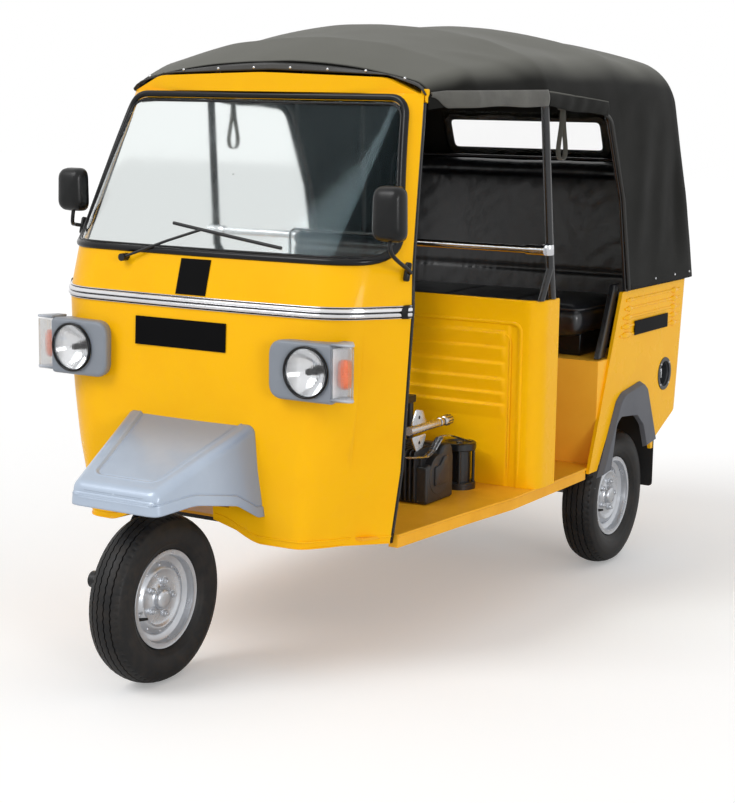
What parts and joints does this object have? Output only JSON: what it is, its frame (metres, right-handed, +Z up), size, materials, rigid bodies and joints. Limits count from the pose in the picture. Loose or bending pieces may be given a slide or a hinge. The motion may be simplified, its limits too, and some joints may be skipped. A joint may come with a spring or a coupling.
{
  "type": "auto rickshaw",
  "caption": "Three-wheeled passenger auto rickshaw with an enclosed yellow cowl, open sides, a black soft hood and a steered front wheel under a fixed mudguard.",
  "frame": {"origin": "on the floor under the middle of the vehicle's length and width", "axes": "+Z up, +Y towards the rear, +X to the vehicle's left"},
  "size_m": [1.2906, 2.6989, 1.8759],
  "materials": {
    "body_yellow": "gloss enamel",
    "riser_orange": "gloss enamel in shade",
    "guard_silver": "satin enamel",
    "pod_grey": "semi-gloss moulding",
    "flare_grey": "grained moulding",
    "trim_bright": "polished",
    "seal_black": "smooth",
    "screen_glass": "clear",
    "lamp_clear": "ribbed clear",
    "lamp_bowl": "polished bowl",
    "lamp_red": "moulded lens",
    "mirror_black": "grained",
    "plate_black": "blank",
    "filler_grey": "moulded",
    "flap_rubber": "matt",
    "hood_cloth": "coated canvas",
    "hood_tube": "blue-grey paint",
    "rail_bright": "polished",
    "strap_web": "woven webbing",
    "seat_vinyl": "vinyl",
    "seat_tray": "satin black",
    "frame_black": "chassis black",
    "floor_paint": "worn enamel",
    "engine_alloy": "as cast",
    "canister_black": "satin black",
    "final_drive": "as cast",
    "steel_black": "satin black",
    "hose_rubber": "matt",
    "tyre_rubber": "ribbed tread",
    "wheel_silver": "silver enamel",
    "shaft_steel": "machined and cast"
  },
  "bodies": {
    "chassis": {"front_shell": "body_yellow", "windscreen_glass": "screen_glass", "windscreen_seal": "seal_black", "belt_trim": "trim_bright", "door_edge_strips": "seal_black", "front_mudguard": "guard_silver", "floor_pan": "floor_paint", "bulkhead": "body_yellow", "rear_body": "body_yellow", "arch_flares": "flare_grey", "seat_box": "riser_orange", "headlamp_pods": "pod_grey", "headlamp_reflectors": "lamp_bowl", "headlamp_lenses": "lamp_clear", "indicator_lenses": "lamp_clear", "wiper": "mirror_black", "mirrors": "mirror_black", "blank_plates": "plate_black", "fuel_filler": "filler_grey", "tail_lamps": "lamp_red", "mudflaps": "flap_rubber", "hood_canopy": "hood_cloth", "hood_frame": "hood_tube", "grab_rail": "rail_bright", "grab_straps": "strap_web", "driver_seat": "seat_vinyl", "driver_seat_frame": "seat_tray", "passenger_seat": "seat_vinyl", "chassis_frame": "frame_black", "engine_block": "engine_alloy", "air_cleaner": "canister_black", "differential": "final_drive", "trailing_arms": "steel_black", "dampers": "steel_black"},
    "steering": {"steering_column": "steel_black", "front_fork": "steel_black", "brake_hose": "hose_rubber"},
    "front_wheel": {"front_tyre": "tyre_rubber", "front_rim": "wheel_silver"},
    "rear_wheel_left": {"rear_tyre_left": "tyre_rubber", "rear_rim_left": "wheel_silver", "drive_shaft_left": "shaft_steel"},
    "rear_wheel_right": {"rear_tyre_right": "tyre_rubber", "rear_rim_right": "wheel_silver", "drive_shaft_right": "shaft_steel"}
  },
  "joints": [
    {"name": "steering", "type": "hinge", "parent": "chassis", "child": "steering", "pos_m": [0, -0.89906, 0.7], "axis": [0, 0.309, 0.9511], "range_deg": [-35, 35]},
    {"name": "front_wheel_spin", "type": "hinge", "parent": "steering", "child": "front_wheel", "pos_m": [0, -1.1065, 0.243], "axis": [1, 0, 0], "continuous": true},
    {"name": "rear_left_spin", "type": "hinge", "parent": "chassis", "child": "rear_wheel_left", "pos_m": [0.505, 0.8415, 0.243], "axis": [1, 0, 0], "continuous": true},
    {"name": "rear_right_spin", "type": "hinge", "parent": "chassis", "child": "rear_wheel_right", "pos_m": [-0.505, 0.8415, 0.243], "axis": [1, 0, 0], "continuous": true}
  ]
}
